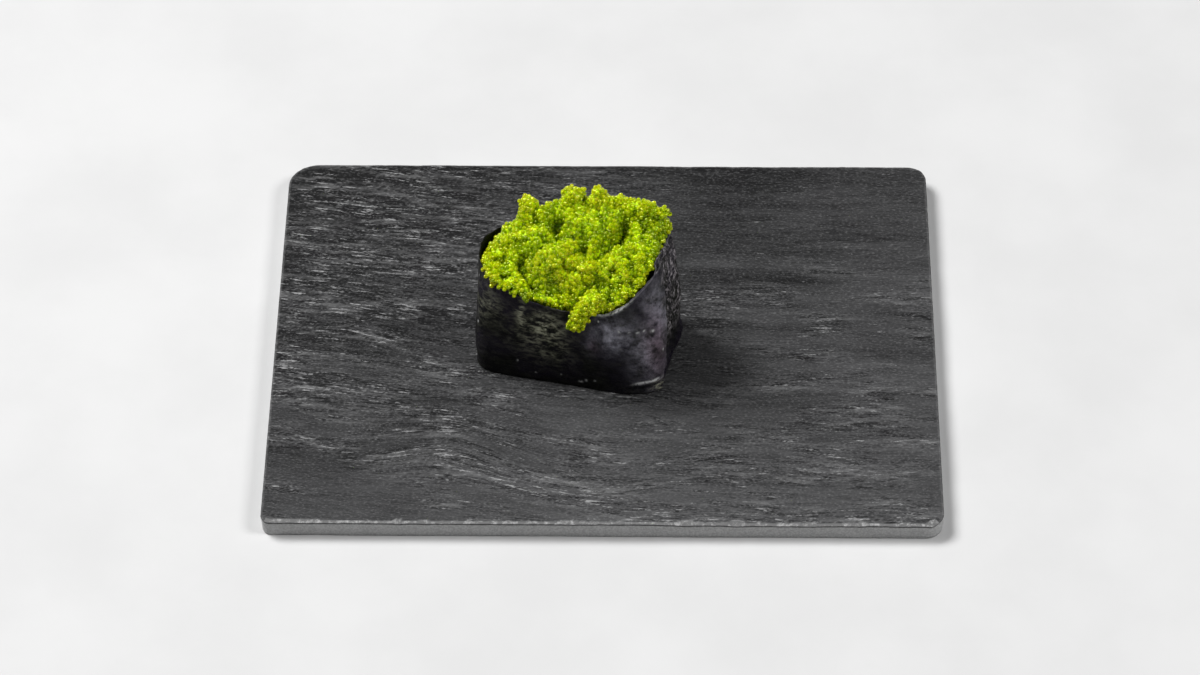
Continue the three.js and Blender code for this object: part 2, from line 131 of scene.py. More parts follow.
# Slate board, with the radius of each corner by its side in x and in y
CORNER_RADIUS = {(-1, 1): 7.5, (1, 1): 4.5, (-1, -1): 2.2, (1, -1): 4}
TOP_COLUMNS = 300
TOP_ROWS = 280
EDGE_STEPS = (0, 0.15, 0.35, 0.6, 0.9, 1.3, 1.8)
CLEFT_DEPTH = 0.42
SHELF_COUNT = 9
SHELF_SPAN = 0.5
SHELF_STEP = 0.012
SHELF_HEIGHT = 0.85
FLAKE_EDGE = (0.16, 0.22)
FLAKE_HEIGHT = 0.14
GRAIN_SLOPE_LEFT = 0.14
GRAIN_SLOPE_RIGHT = 0.03
GRAIN_BEND = 14
ARCH = {"x": -36, "y": -36, "half_width": 15, "half_depth": 13, "rise": 4.5}
# Steps that drop towards the back are made pale, partly wear and partly a painted highlight
STEP_WEAR_AND_HIGHLIGHT = 2.2
BEVEL_LEAST = 0.3
BEVEL_FRONT = 0.8
BEVEL_MOST = 1.7
BEVEL_DROP = 0.3
BEVEL_CURVE = 1.3
BEVEL_FADE = (-0.1, 0.25)
CHIP_BIAS = 0.05
CHIP_REACH = 2.4
CHIP_POWER = 1.6
WORN_CORNER = {"reach": 0.4, "x": (-58, -78)}
EDGE_CHIPS = 0.3

# Sides of the slate: inset and share of the way down, ring by ring
GROOVE_DEPTH = 0.22
GROOVE_RINGS = 2
SIDE_PROFILE = ((GROOVE_DEPTH / 2, 0.02), (GROOVE_DEPTH, 0.055), (0.04, 0.1), (0, 0.25), (0.03, 0.5),
                (0.06, 0.75), (0.1, 0.92), (0.16, 0.98), (0.31, 1))
SIDE_WAVE_FROM = 0.1
SIDE_WAVE_MIDDLE = 0.1

# Looks of the slate: where it is scuffed and bare, how strongly, and its tones, which rise evenly
# towards the right and front as painted light
SCUFFED_LEAST = 0.14
SCUFFED_LEFT = {"x": (30, -45), "y": (-35, 5), "least": 0.48, "strength": 0.66}
SCUFFED_FRONT = {"x": (-70, 0), "y": (-15, -60), "least": 0, "strength": 0.32}
BARE_BACK_RIGHT = {"x": (-5, 25), "y": (5, 35), "least": 0, "strength": 0.14, "clusters": 0.8}
BARE_FRONT_LEFT = {"x": -42, "y": -53, "half_width": 26, "half_depth": 6.5, "strength": 0.5}
TONE_MIDDLE = 0.47
PAINTED_LIGHT_LENGTHS = (400, 180)
DULL_STRETCH = 0.17
GRAIN_STRETCH = 0.1
DASH_STRETCH = 0.11
GRANULE_STRETCH = (0.5, 1, 1)
DASHES_WHERE_SCUFFED = 0.12
SLATE_DARK = (0.008, 0.008, 0.0083)
SLATE_LIGHT = (0.062, 0.062, 0.0635)
# The pale colour of the dashes, also used for the painted highlight on the steps
SLATE_DASH_AND_HIGHLIGHT = (0.31, 0.31, 0.312)
SLATE_ARRIS = (0.14, 0.14, 0.14)
# The groove under the broken edge is painted near black, as its shadow
SLATE_GROOVE_SHADOW = (0.012, 0.012, 0.012)
SLATE_CHIP = (0.38, 0.38, 0.38)
SLATE_SAWN_DARK = (0.335, 0.336, 0.337)
SLATE_SAWN_LIGHT = (0.455, 0.456, 0.456)
SLATE_SHADER = {"Roughness": 0.7, "Specular IOR Level": 0.1}
SLATE_RELIEF = 0.07

# Seaweed roll, with its oval at the foot and at the rim
ROLL_PLACE = (-5.6, -1.4)
ROLL_TURN = -12
FLAT_PATCH = {"x": ROLL_PLACE[0], "y": ROLL_PLACE[1], "half_width": 27, "half_depth": 19, "share": 0.9}
FOOT = {"left": 23.7, "right": 23.1, "half_width": 14.8,
        "squareness": {"front_left": 8, "front_right": 4.6, "back_left": 5, "back_right": 5}}
RIM = {"left": 23, "right": 21.6, "half_width": 14,
       "squareness": {"front_left": 2.6, "front_right": 2.8, "back_left": 2, "back_right": 3.2}}
RIM_SHIFT = -1.6
RIM_SKEW = 0.14
WALL_BULGE = 0.35
LEAN_POWER = 2.2
RIM_HEIGHTS = ((0, 35), (70, 34.5), (150, 27), (186, 28.4), (270, 24.1), (305, 24.4), (354, 35),
               (360, 35))
RIM_CREST = 0.06
FOOT_INSET = 0.7
FOOT_TUCK = 0.97
REST_GAP = 0.3
SHEET_THICKNESS = 0.35
WALL_COLUMNS = 460
WALL_ROWS = 92
WALL_ROW_POWER = 0.95
INSIDE_ROWS = 24
INSIDE_DEPTH = 7
INSIDE_START = 0.08
SHEET_LENGTH = 21
SHEET_RISE = 28

# Creases of the sheet: how far they stand out, and the height in which they lean by one bump
RIDGE_SLOPE = 2.2
FOLD_HEIGHT = 0.22
FOLD_SLANT = 9
CRINKLE_HEIGHT = 0.7
CRINKLE_SLANT = 5
DRAWN_IN = 1.1
SET_BACK = 0.2
CRINKLED_END = {"direction": 8, "half_angle": 30}

# Single folds: direction, height over the board, slope and droop of the crest, half width and reach
FOLDS = {
    "lip": {"direction": -35, "height": 3.6, "slope": 0.06, "droop": 0.006, "half_angle": 9,
            "half_height": 0.45, "out": 0.55},
    "tuck": {"direction": -35, "height": 1.6, "slope": 0, "droop": 0, "half_angle": 10,
             "half_height": 1.1, "out": -0.5},
    "wrinkle": {"direction": -43, "height": 20.2, "slope": 0.03, "droop": 0, "half_angle": 9,
                "half_height": 0.5, "out": 0.4},
}

# The sheet's outer end, which laps over its start at the roll's right end
LAP_START = -74
LAP_END_FOOT = -25
LAP_END_RIM = -9
LAP_END_POWER = 1.3
LAP_RECESS = 0.75
LAP_RECESS_START = (-6, -1)
LAP_RECESS_FINISH = (24, 40)
LAP_COLUMNS = 150
LAP_CALM = 0.45
LAP_LIFT = {"start": -0.12, "body": 0.34, "body_share": 0.3, "edge": 0.35}
LAP_EDGE_THICKNESS = 0.7

# Patches of the sheet: direction, height over the board, half width in degrees, half height, strength
PATCHES = {
    # Pale fibres lit as a painted sheen, and low at the front right corner a painted glow of light
    # through the sheet
    "fibre_sheen": ((-107, 18, 14, 3.8, 1), (-108, 14.5, 19, 6, 0.42), (-127, 20.5, 3.5, 3.5, 0.75),
                (-150, 20, 10, 4, 0.2), (-29, 2, 4, 1.6, 0.9), (62, 22, 22, 9, 0.4),
                (100, 13, 16, 8, 0.3), (140, 17, 20, 8, 0.35)),
    # Two patches of a painted sheen: where it lies, and where it turns mauve
    "painted_sheen": ((-51, 18.5, 13, 5, 1), (-33, 13, 10, 9, 0.9), (-23, 21, 8, 10, 0.9),
             (-66, 15.5, 6, 3.5, 0.6)),
    "mauve_sheen": ((-27, 13, 8, 11, 1), (-65, 14, 5, 3, 0.9)),
}

# Painted glints of the sheet: direction, height over the board, half width in degrees and half height
GLINTS = ((-46, 20.1, 0.7, 0.4), (-41, 19.9, 0.6, 0.2), (-36.5, 19.8, 0.9, 0.32), (-33, 20, 0.6, 0.2),
          (-28.5, 19.3, 0.9, 0.3), (-58, 22.6, 0.5, 0.25), (-130, 5.5, 0.5, 0.3), (-152, 14, 0.4, 0.3),
          (-118, 2.6, 0.6, 0.25), (-78, 2, 1.6, 0.3), (-73, 2.6, 0.9, 0.35), (-66, 3, 0.8, 0.2),
          (-24, 12.4, 0.4, 0.3), (-96, 3.4, 0.5, 0.2), (-162, 24.8, 0.8, 0.8))

# Looks of the sheet: where it is wet, where painted highlights fleck it and where it has painted glints,
# its fibres lit as a painted sheen, and its tones, dark ones and those of a painted sheen
WET_CORNER = {"direction": -40, "half_angle": 26, "share": 0.7}
WET_FOOT = {"fade": 7, "share": 0.8}
# Where painted highlights fleck the crinkled end
CRINKLE_HIGHLIGHTS = {"direction": 12, "half_angle": 27, "from": (0.1, 0.35)}
# Painted highlights along the damp fold and along the rim
FOLD_GLINT = {"over_crest": 0.5, "direction": -35, "half_angle": 7, "half_height": 0.19, "share": 0.8}
RIM_GLINT = {"direction": -50, "half_angle": 14, "depth": 0.012, "share": 0.45}
FIBRE_STRETCH = (0.42, 0.42, 1)
FIBRE_SHEEN_LEAST = 0.02
HIGHLIGHT_STRETCH = (1, 1, 0.4)
HIGHLIGHT_LEAN = 35
WET_ROUGHNESS = -0.18
SHEET_DARK = (0.0028, 0.003, 0.0026)
SHEET_PURPLE_DARK = (0.008, 0.006, 0.0125)
# The pale fibre colour is a painted sheen
SHEET_FIBRE_SHEEN = (0.68, 0.69, 0.5)
# Colours of the painted sheen, grey and mauve
SHEET_SHEEN = (0.39, 0.385, 0.45)
SHEET_MAUVE_SHEEN = (0.36, 0.275, 0.345)
# Colour of the painted highlights on the crinkled end
SHEET_CRINKLE_HIGHLIGHT = (0.47, 0.435, 0.455)
# Colour of the painted glints
SHEET_GLINT = (0.8, 0.81, 0.8)
SHEET_SHADER = {"Specular IOR Level": 0.16}
SHEET_RELIEF = 0.275

# Roe: its core, in a fine even mesh with mounds for clusters of eggs
ROE_SEED = 12
CORE_VOXEL = 0.36
CORE_SOFTENING = 5
CORE_INSET = 0.75
EVENING_STEPS = 26
CLUSTER_SPACING = 2.5
CLUSTER_RADIUS = 2.0
CLUSTER_RISE = 1.1
CLUSTER_SINK = 0.8
RELIEF_SPACING = 0.85
RELIEF_RADIUS = 0.56 * RELIEF_SPACING
RELIEF_HEIGHT = 0.8
PACKED_BULGE = (-0.9, -0.1)
# Core colours: painted shade in the hollows, lighter where raised, and a painted highlight on each
# dome's crown
CORE_SHADE_DARK = (0.05, 0.1, 0.001)
CORE_SHADE_LIGHT = (0.13, 0.23, 0.001)
CORE_PACKED_LIT = (0.42, 0.62, 0.002)
CORE_CROWN_HIGHLIGHT = (0.66, 0.88, 0.002)
CORE_SHADER = {"Subsurface Weight": 0.4, "Subsurface Radius": (1.0, 1.0, 0.1),
               "Subsurface Scale": 0.8 * MM, "Roughness": 0.4, "Specular IOR Level": 0.15}
CORE_RELIEF = 0.05

# Single eggs: their size, and where they lie
EGG_LEAST = 0.47
EGG_MOST = 0.6
EGG_SQUASH = 0.09
EGG_DETAIL = 3
EGG_SPACING = 0.84
EGG_LIFT = 0.2
LOOSE_SPACING = 0.84
LOOSE_LIFT = 0.62
LOOSE_BULGE = 0.02
LOOSE_SPREAD = 0.12
CANDIDATES = 70000
UPWARD = 0.35
DOWNWARD = -0.85
RIM_MARGIN = {"across": 0.3, "down": 0.9}
CELL_STEPS = tuple(itertools.product((-1, 0, 1), repeat=3))

# Kinds of eggs, coolest first: the warmth at which each ends, and its deep and bright tones, between
# which each egg blends by a random tint, a painted glow on its lower side and painted shade in hollows
EGG_KINDS = {
    "roe_green": (-0.19, (0.25, 0.38, 0.001), (0.58, 0.78, 0.002)),
    "roe_lime": (0.14, (0.6, 0.77, 0.002), (0.79, 0.96, 0.004)),
    "roe_yellow": (0.72, (0.75, 0.86, 0.003), (0.91, 0.98, 0.008)),
    "roe_amber": (math.inf, (0.86, 0.78, 0.004), (0.97, 0.88, 0.01)),
}
# Eggs on bulges take warmer kinds and those in hollows greener, darker ones, as painted light and shade;
# each egg is lighter on its lower side as a painted glow, and darker in hollows as painted shade
LIT_BULGE_WARMTH = 0.5
WARM_SPREAD = 0.2
TINT_SPREAD = 0.65
PAINTED_GLOW = 0.8
PAINTED_GLOW_START = 0.15
SUNK_SHADE = 0.9
SUNK_BULGE = (0.1, 1.2)
EGG_SHADER = {"Transmission Weight": 0.6, "IOR": 1.62, "Specular IOR Level": 1.0, "Roughness": 0.03,
              "Subsurface Weight": 0.85, "Subsurface Radius": (1.0, 0.95, 0.12),
              "Subsurface Scale": 1.6 * MM, "Specular Tint": (0.95, 1.0, 0.22, 1), "Coat Weight": 0.1,
              "Coat Roughness": 0.03}


def ease(value, low, high):
    """0 at one end of a range, 1 at the other, and eased in between."""
    share = np.clip((value - low) / (high - low), 0, 1)
    return share * share * (3 - 2 * share)


def falloff(*distances):
    """1 in the middle and less outwards, from pairs of a distance in half widths and its power."""
    return np.exp(-sum(distance ** power for distance, power in distances))


def unit_noise(x, y, seed):
    """Smooth random heights from -1 to 1, with one bump a unit."""
    table = np.random.default_rng(seed).uniform(-1, 1, (NOISE_SIZE, NOISE_SIZE))
    column = np.floor(x).astype(int)
    row = np.floor(y).astype(int)
    u = ease(x - column, 0, 1)
    v = ease(y - row, 0, 1)
    corners = [table[(row + j) % NOISE_SIZE, (column + i) % NOISE_SIZE] for j in (0, 1) for i in (0, 1)]
    near = corners[0] * (1 - u) + corners[1] * u
    far = corners[2] * (1 - u) + corners[3] * u
    return near * (1 - v) + far * v


def turned(x, y, angle):
    return x * math.cos(angle) - y * math.sin(angle), x * math.sin(angle) + y * math.cos(angle)


def layered_noise(x, y, settings, turn, shift):
    """Noise with finer and weaker layers on top, from about -1 to 1."""
    seed, layers, gain = settings
    total = 0
    weight = 1
    reach = 0
    for layer in range(layers):
        u, v = turned(x, y, turn * layer)
        scale = 2 ** layer
        moved = (u * scale + shift[0] * layer, v * scale - shift[1] * layer)
        total = total + weight * unit_noise(*moved, seed + layer)
        reach += weight
        weight *= gain
    return total / reach


def form(name, x, y, slant=math.inf):
    """A named random form at some places, leaning sideways by one bump in a slant's height."""
    height, length_x, length_y, *settings = FORMS[name]
    turn, shift = (0, GRAIN_SHIFT) if name in GRAIN_FORMS else (LAYER_TURN, LAYER_SHIFT)
    return height * layered_noise(x / length_x + y / slant, y / length_y, settings, turn, shift)


def ridges(height):
    """Sharp crests of 1 where a random form passes through zero."""
    return 1 - RIDGE_SLOPE * np.abs(height)


def grid_faces(rows, columns, closed=False):
    """Four-sided faces of a grid of points, row by row, joined end to start when closed."""
    row = np.arange(rows - 1)[:, None]
    column = np.arange(columns if closed else columns - 1)[None, :]
    following = (column + 1) % columns
    corners = np.broadcast_arrays(row * columns + column, row * columns + following,
                                  (row + 1) * columns + following, (row + 1) * columns + column)
    return np.stack(corners, -1).reshape(-1, 4)


def add_object(name, data):
    added = bpy.data.objects.new(name, data)
    bpy.context.scene.collection.objects.link(added)
    return added


def add_piece(name, points, faces, material, node):
    """A mesh from points in millimetres, shown in place of a node of the frame."""
    mesh = bpy.data.meshes.new(name)
    mesh.from_pydata((np.asarray(points) * MM).tolist(), [], [list(f) for f in faces])
    mesh.validate()
    mesh.polygons.foreach_set("use_smooth", [True] * len(mesh.polygons))
    mesh.materials.append(material)
    piece = add_object(name, mesh)
    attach(piece, "root")
    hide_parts(node)
    return piece


def add_values(piece, name, values):
    """A number for each point of the mesh, for its material to read."""
    layer = piece.data.attributes.new(name, "FLOAT", "POINT")
    layer.data.foreach_set("value", np.asarray(values, np.float32))


# Material nodes


def new_material(name):
    material = bpy.data.materials.new(name)
    material.use_nodes = True
    return material, material.node_tree, material.node_tree.nodes["Principled BSDF"]


def set_shader(shader, settings):
    """Links textures to a shader, and puts what is the same all over on its own sockets."""
    for name, setting in settings.items():
        set_input(shader.inputs[name], setting)


def object_place(tree, stretch=(1, 1, 1), lean=0):
    """Places on the object in millimetres, turned about X and then multiplied."""
    coordinates = tree.nodes.new("ShaderNodeTexCoord")
    leaning = tree.nodes.new("ShaderNodeVectorRotate")
    leaning.rotation_type = "X_AXIS"
    leaning.inputs["Angle"].default_value = math.radians(lean)
    mapping = tree.nodes.new("ShaderNodeMapping")
    mapping.inputs["Scale"].default_value = tuple(s / MM for s in stretch)
    tree.links.new(coordinates.outputs["Object"], leaning.inputs["Vector"])
    tree.links.new(leaning.outputs["Vector"], mapping.inputs["Vector"])
    return mapping.outputs["Vector"]


def mesh_value(tree, name):
    node = tree.nodes.new("ShaderNodeAttribute")
    node.attribute_name = name
    return node.outputs["Fac"]


def set_input(socket, value):
    if isinstance(value, bpy.types.NodeSocket):
        socket.id_data.links.new(value, socket)
    else:
        socket.default_value = value


def spread(tree, name, value):
    """Maps the named range of a value to another range, held at its ends."""
    node = tree.nodes.new("ShaderNodeMapRange")
    node.interpolation_type = "SMOOTHSTEP"
    for socket, setting in zip(node.inputs[:5], (value, *RANGES[name])):
        set_input(socket, setting)
    return node.outputs["Result"]


def combine(tree, operation, first, second):
    node = tree.nodes.new("ShaderNodeMath")
    node.operation = operation
    set_input(node.inputs[0], first)
    set_input(node.inputs[1], second)
    return node.outputs["Value"]


def plus(tree, first, second):
    return combine(tree, "ADD", first, second)


def times(tree, first, second):
    return combine(tree, "MULTIPLY", first, second)


def noise(tree, name, place):
    """A named noise, from 0 to 1."""
    node = tree.nodes.new("ShaderNodeTexNoise")
    for setting, value in zip(("Scale", "Detail", "Roughness", "Distortion"), NOISES[name]):
        node.inputs[setting].default_value = value
    tree.links.new(place, node.inputs["Vector"])
    return node.outputs["Fac"]


def texture(tree, name, place):
    """A named noise with its range spread out."""
    return spread(tree, name, noise(tree, name, place))


def blend(tree, share, first, second):
    node = tree.nodes.new("ShaderNodeMix")
    node.data_type = "RGBA"
    set_input(node.inputs[0], share)
    for socket, colour in zip(node.inputs[6:8], (first, second)):
        set_input(socket, (*colour, 1) if isinstance(colour, tuple) else colour)
    return node.outputs[2]


def add_bump(tree, shader, height, depth):
    """Fine relief, given as a height and the real depth in millimetres of a height of 1."""
    bump = tree.nodes.new("ShaderNodeBump")
    bump.inputs["Distance"].default_value = depth * MM
    tree.links.new(height, bump.inputs["Height"])
    tree.links.new(bump.outputs["Normal"], shader.inputs["Normal"])


# Slate board


def grid_lines(length, count):
    """Lines from one edge of the board to the other, closer together near the edges."""
    middle = np.linspace(EDGE_STEPS[-1], length - EDGE_STEPS[-1], count - 2 * len(EDGE_STEPS) + 2)[1:-1]
    near = np.array(EDGE_STEPS)
    return np.concatenate([near, middle, length - near[::-1]]) - length / 2


def round_corners(x, y, width, depth):
    """Moves points of the board's rectangle into its rounded outline."""
    moved_x = x.copy()
    moved_y = y.copy()
    for (side_x, side_y), radius in CORNER_RADIUS.items():
        straight_x = width / 2 - radius
        straight_y = depth / 2 - radius
        past_x = x * side_x - straight_x
        past_y = y * side_y - straight_y
        inside = (past_x > 0) & (past_y > 0)
        pull = np.maximum(past_x, past_y) / np.maximum(np.hypot(past_x, past_y), 1e-9)
        moved_x[inside] = (side_x * (straight_x + past_x * pull))[inside]
        moved_y[inside] = (side_y * (straight_y + past_y * pull))[inside]
    return moved_x, moved_y


def grain_across(x, y):
    """Distance across the stone's grain, which slopes on the left, levels out and arches once."""
    bend = GRAIN_BEND * np.log1p(np.exp(-x / GRAIN_BEND))
    slope = GRAIN_SLOPE_RIGHT * x - (GRAIN_SLOPE_LEFT - GRAIN_SLOPE_RIGHT) * bend
    return y + slope - ARCH["rise"] * from_spot(ARCH, x, y, (2, 2)) + form("wobble", x, y)


def cleft_relief(x, y):
    """Depth of the split face under its highest layer, in thin shelves drawn out along the grain."""
    across = grain_across(x, y)
    field = form("shelves", x, across)
    levels = np.linspace(-SHELF_SPAN, SHELF_SPAN, SHELF_COUNT)
    shelves = sum(ease(field, level - SHELF_STEP, level + SHELF_STEP) for level in levels)
    flakes = FLAKE_HEIGHT * ease(form("flakes", x, across), *FLAKE_EDGE)
    height = SHELF_HEIGHT * (shelves / SHELF_COUNT) + flakes + form("threads", x, across)
    return CLEFT_DEPTH * (1 - np.clip(height, 0, 1))


def within(area, x, y):
    """How far inside an area of the board places are, from 0 to 1."""
    return ease(x, *area["x"]) * (area["least"] + (1 - area["least"]) * ease(y, *area["y"]))


def from_spot(spot, x, y, powers):
    """1 in the middle of a spot of the board and less outwards."""
    return falloff(((x - spot["x"]) / spot["half_width"], powers[0]),
                   ((y - spot["y"]) / spot["half_depth"], powers[1]))


def scuff_share(x, y):
    """How thickly the split face is scuffed: most on its left, least at the back right."""
    back_right = within(BARE_BACK_RIGHT, x, y)
    share = form("scuffs", x, grain_across(x, y)) * (1 - BARE_BACK_RIGHT["clusters"] * back_right)
    share = share + SCUFFED_LEAST - BARE_BACK_RIGHT["strength"] * back_right
    for area in (SCUFFED_LEFT, SCUFFED_FRONT):
        share = share + area["strength"] * within(area, x, y)
    bare = BARE_FRONT_LEFT["strength"] * from_spot(BARE_FRONT_LEFT, x, y, (4, 2))
    return np.clip(share - bare, 0, 1)


def slate_tone_and_light(x, y):
    """Tone under the scuffs, from 0 to 1: random bands, and an even rise towards the right and front
    that is painted light.
    """
    across = grain_across(x, y)
    # The even rise towards the right and the front is painted light.
    even = TONE_MIDDLE + x / PAINTED_LIGHT_LENGTHS[0] - y / PAINTED_LIGHT_LENGTHS[1]
    return np.clip(even + form("broad_tone", x, across) + form("tone_bands", x, across), 0, 1)


def bevel_width(place):
    """How far the broken upper edge reaches in from the front, at a place along it."""
    chips = np.maximum(0, form("edge_chips", place, place * 0) + CHIP_BIAS)
    share = CHIP_REACH * chips ** CHIP_POWER + WORN_CORNER["reach"] * ease(place, *WORN_CORNER["x"])
    return BEVEL_FRONT + (BEVEL_MOST - BEVEL_FRONT) * np.minimum(1, share)


def broken_edge(x, y, width, depth):
    """How broken the stone is along its upper edges, how far it drops there and how rough it is."""
    from_end = width / 2 - np.abs(x)
    from_side = depth / 2 - np.abs(y)
    nearer_side = from_side < from_end
    inward = np.minimum(from_end, from_side)
    chipping = np.where((y < 0) & nearer_side, 1, EDGE_CHIPS)
    reach = BEVEL_LEAST + (bevel_width(np.where(nearer_side, x, y)) - BEVEL_LEAST) * chipping
    broken = ease(reach - inward, *BEVEL_FADE) * chipping
    drop = BEVEL_DROP * reach * np.clip(1 - inward / reach, 0, 1) ** BEVEL_CURVE
    return broken, drop, np.where(inward > 0, form("broken_edge", x, y) * broken, 0)


def board_top(width, depth, thickness):
    """Places of the board's top face, with the shares that its material reads."""
    x, y = np.meshgrid(grid_lines(width, TOP_COLUMNS), grid_lines(depth, TOP_ROWS))
    flat = FLAT_PATCH["share"] * from_spot(FLAT_PATCH, x, y, (6, 6))
    height = thickness - cleft_relief(x, y) * (1 - flat)
    slope = np.gradient(height, axis=0) / np.maximum(np.gradient(y, axis=0), 1e-6)
    broken, drop, rough = broken_edge(x, y, width, depth)
    # Steps that drop towards the back are marked pale: partly wear, partly a painted highlight.
    shades = {"wear_and_highlight": np.clip(-slope * STEP_WEAR_AND_HIGHLIGHT, 0, 1), "broken": broken, "scuffed": scuff_share(x, y),
              # The tone includes painted light that rises towards the right and front.
              "tone_and_light": slate_tone_and_light(x, y)}
    x, y = round_corners(x, y, width, depth)
    return np.stack([x, y, height - drop + rough], -1), shades


def outline_of(grid):
    """The points round a grid's edge, counter-clockwise from its front left corner."""
    return np.concatenate([grid[0, :-1], grid[:-1, -1], grid[-1, :0:-1], grid[:0:-1, 0]])


def board_sides(outline):
    """Rings down the board's sides: a groove under the broken edge, then the sawn face."""
    x, y, upper = outline.T
    out = outline[:, :2] / np.abs(outline[:, :2]).max(0)
    wave = SIDE_WAVE_MIDDLE + form("side_wave", x, y)
    rings = []
    for inset, share in SIDE_PROFILE:
        z = upper * (1 - share)
        inward = inset + wave * (share > SIDE_WAVE_FROM) + form("saw_marks", x + y, z)
        rings.append(np.column_stack([outline[:, :2] - out * inward[:, None], z]))
    return np.concatenate(rings)


def side_faces(edge, first, last):
    """Faces down the board's sides, with points numbered first to last, and its flat underside."""
    chain = np.concatenate([edge, np.arange(first, last)]).reshape(-1, len(edge))
    following = np.roll(chain, -1, axis=1)
    walls = np.stack([chain[1:], following[1:], following[:-1], chain[:-1]], -1).reshape(-1, 4)
    return walls.tolist() + [chain[-1][::-1].tolist()]


def build_board():
    low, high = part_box("slate_board")
    top, shades = board_top(*((high - low) / MM))
    rows, columns = top.shape[:2]
    top_points = top.reshape(-1, 3)
    edge = outline_of(np.arange(rows * columns).reshape(rows, columns))
    sides = board_sides(top_points[edge])
    points = np.concatenate([top_points, sides])
    faces = grid_faces(rows, columns).tolist() + side_faces(edge, len(top_points), len(points))
    board = add_piece("slate", points, faces, slate_material(), "slate_board")
    for name, values in shades.items():
        add_values(board, name, np.concatenate([values.ravel(), np.zeros(len(sides))]))
    below = np.arange(len(points)) - len(top_points)
    add_values(board, "across", grain_across(points[:, 0], points[:, 1]))
    # The groove's rings are painted dark, as the groove's shadow.
    add_values(board, "groove_shadowed", (below >= 0) & (below < GROOVE_RINGS * len(edge)))
    add_values(board, "sawn", below >= 0)


def grain_place(tree, stretch):
    """Places along and across the bent grain in millimetres, drawn out along it."""
    coordinates = tree.nodes.new("ShaderNodeTexCoord")
    parts = tree.nodes.new("ShaderNodeSeparateXYZ")
    tree.links.new(coordinates.outputs["Object"], parts.inputs["Vector"])
    joined = tree.nodes.new("ShaderNodeCombineXYZ")
    tree.links.new(times(tree, parts.outputs["X"], stretch / MM), joined.inputs["X"])
    tree.links.new(mesh_value(tree, "across"), joined.inputs["Y"])
    return joined.outputs["Vector"]


def stone_colour(tree, grain, granules):
    """The stone under its scuffs: light and dull along the grain, coarser where it is scuffed, and
    lighter towards the right and front as painted light.
    """
    scuffs = mesh_value(tree, "scuffed")
    dull = texture(tree, "dull", grain_place(tree, DULL_STRETCH))
    ruffled = plus(tree, dull, spread(tree, "grain", grain))
    rough = times(tree, ruffled, spread(tree, "scuffs_on_grain", scuffs))
    coarse = times(tree, spread(tree, "scuffs_on_granules", scuffs), spread(tree, "granules", granules))
    tone_and_light = plus(tree, mesh_value(tree, "tone_and_light"), plus(tree, rough, coarse))
    return blend(tree, tone_and_light, SLATE_DARK, SLATE_LIGHT)


def scuffed_colour(tree, ground, granules):
    """Pale dashes along the grain, and a pale mark on the shelves' steps that drop towards the back,
    partly wear and partly a painted highlight.
    """
    scuffs = mesh_value(tree, "scuffed")
    dashes = plus(tree, noise(tree, "dashes", grain_place(tree, DASH_STRETCH)),
                  times(tree, scuffs, DASHES_WHERE_SCUFFED))
    grainy = plus(tree, spread(tree, "dashes", dashes), spread(tree, "granules_in_dashes", granules))
    dashed = blend(tree, grainy, ground, SLATE_DASH_AND_HIGHLIGHT)
    return blend(tree, times(tree, mesh_value(tree, "wear_and_highlight"), scuffs), dashed, SLATE_DASH_AND_HIGHLIGHT)


def slate_material():
    """Dark slate with pale dashes along its grain, chipped upper edges, sawn sides with a painted shadow
    in the groove under the chipped edge, and painted light that rises towards the front.
    """
    material, tree, shader = new_material("slate")
    place = object_place(tree)
    grain = noise(tree, "grain", grain_place(tree, GRAIN_STRETCH))
    granules = noise(tree, "granules", object_place(tree, GRANULE_STRETCH))
    scuffed = scuffed_colour(tree, stone_colour(tree, grain, granules), granules)
    chips = blend(tree, texture(tree, "chips", place), SLATE_ARRIS, SLATE_CHIP)
    chipped = blend(tree, mesh_value(tree, "broken"), scuffed, chips)
    sawn = blend(tree, texture(tree, "specks", place), SLATE_SAWN_DARK, SLATE_SAWN_LIGHT)
    # A painted shadow in the groove under the chipped edge.
    groove_shadowed = blend(tree, mesh_value(tree, "groove_shadowed"), sawn, SLATE_GROOVE_SHADOW)
    colour = blend(tree, mesh_value(tree, "sawn"), chipped, groove_shadowed)
    set_shader(shader, {"Base Color": colour, **SLATE_SHADER})
    add_bump(tree, shader, plus(tree, grain, noise(tree, "stone_relief", place)), SLATE_RELIEF)
    return material


# Seaweed roll


def to_board(points):
    """Places in the roll's frame as places in the board's frame."""
    x, y = turned(points[..., 0], points[..., 1], math.radians(ROLL_TURN))
    return np.stack([x + ROLL_PLACE[0], y + ROLL_PLACE[1], points[..., 2] + board_height], -1)


def oval_reach(oval, angle):
    """Distance from the middle to a rounded oval, in each direction."""
    c = np.cos(angle)
    s = np.sin(angle)
    powers = oval["squareness"]
    power = np.where(s < 0, np.where(c < 0, powers["front_left"], powers["front_right"]),
                     np.where(c < 0, powers["back_left"], powers["back_right"]))
    along = np.abs(c / np.where(c < 0, oval["left"], oval["right"])) ** power
    across = np.abs(s / oval["half_width"]) ** power
    return (along + across) ** (-1 / power)


def rim_height(angle):
    """Height of the rim over the board, eased between the named heights."""
    direction = np.degrees(angle) % 360
    places, heights = np.array(RIM_HEIGHTS).T
    after = np.clip(np.searchsorted(places, direction, side="right"), 1, len(places) - 1)
    share = ease(direction, places[after - 1], places[after])
    return heights[after - 1] * (1 - share) + heights[after] * share


def placed(angle, reach, lean, height):
    """Places in the roll's frame: the higher the lean, the nearer to the rim's own middle."""
    y = reach * np.sin(angle)
    skew = RIM_SKEW * np.maximum(0, np.cos(angle)) * np.maximum(0, y)
    x = reach * np.cos(angle) + lean * (RIM_SHIFT + skew)
    return np.stack(np.broadcast_arrays(x, y, height), -1)


